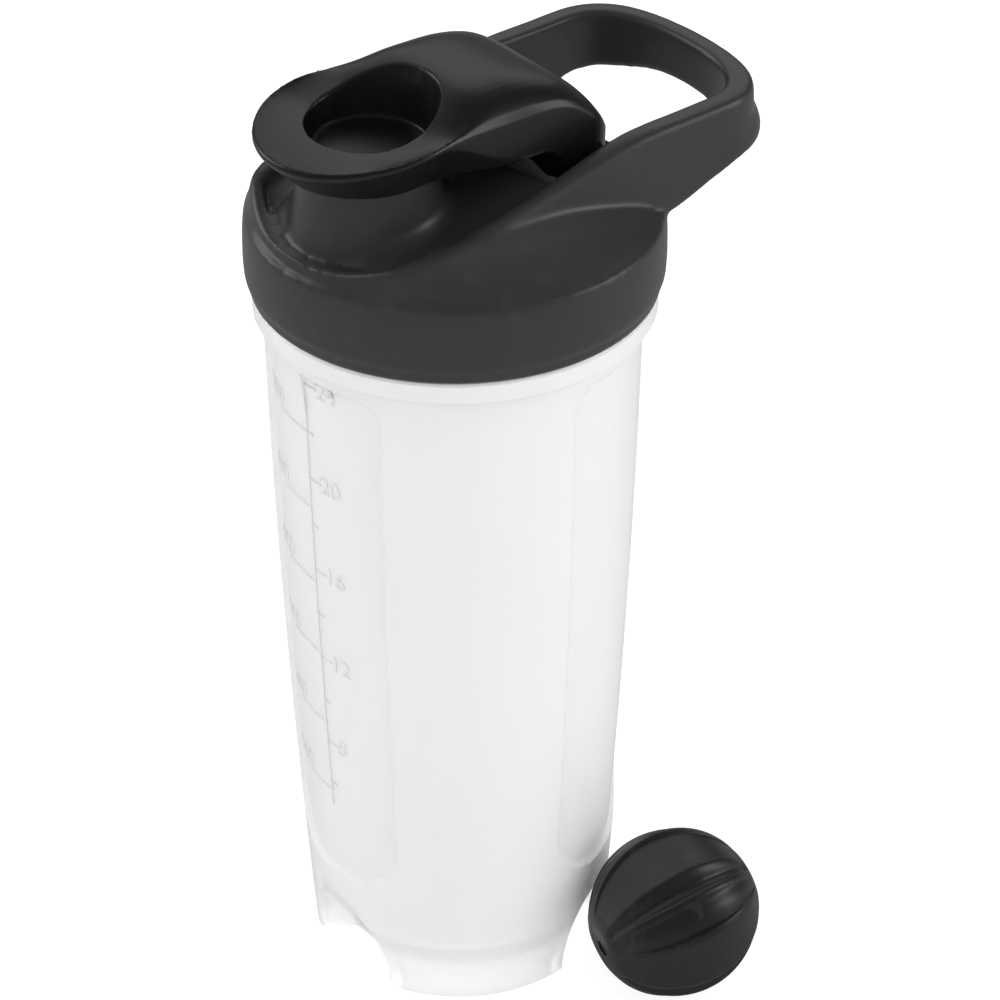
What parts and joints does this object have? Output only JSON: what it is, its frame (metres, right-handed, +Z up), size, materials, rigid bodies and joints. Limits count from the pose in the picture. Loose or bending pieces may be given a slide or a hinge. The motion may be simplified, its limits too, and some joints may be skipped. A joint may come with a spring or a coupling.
{
  "type": "protein shaker bottle",
  "caption": "Protein shaker bottle: frosted measuring cup on three feet, screw lid with a swept carry loop and hinged flip cap over the spout, and a loose lobed mixing ball.",
  "frame": {"origin": "middle of the whole assembly's bounding box, on the table", "axes": "+Z up along the bottle's axis, +X from the spout towards the carry loop"},
  "size_m": [0.1216, 0.1212, 0.2362],
  "materials": {
    "cup": "frosted translucent, faintly ribbed by moulding",
    "lid": "satin",
    "cap": "satin, glossier round the finger well",
    "seal": "soft matte",
    "pin": "smooth",
    "ball": "satin"
  },
  "bodies": {
    "cup": {"cup": "cup"},
    "seal_ring": {"lid_gasket": "seal"},
    "lid": {"lid": "lid", "hinge_pin": "pin"},
    "cap": {"flip_cap": "cap", "spout_seal": "seal"},
    "mixing_ball": {"ball_half_a": "ball", "ball_half_b": "ball"}
  },
  "joints": [
    {"name": "lid_rise", "type": "slide", "parent": "cup", "child": "seal_ring", "axis": [0, 0, 1], "range_m": [0, 0.015]},
    {"name": "lid_turn", "type": "hinge", "parent": "seal_ring", "child": "lid", "pos_m": [-0.01235, 0.01325, 0.19], "axis": [0, 0, 1], "range_deg": [0, 900]},
    {"name": "cap_hinge", "type": "hinge", "parent": "lid", "child": "cap", "pos_m": [0.00965, 0.01325, 0.212], "axis": [0, 1, 0], "range_deg": [0, 120]},
    {"name": "ball_lift", "type": "slide", "parent": "cup", "child": "mixing_ball", "axis": [0.0862, -0.1892, 0.9781], "range_m": [0, 0.25]}
  ],
  "couplings": [
    {"joint": "lid_rise", "follows": "lid_turn", "m_per_rad": 0.00095492}
  ]
}
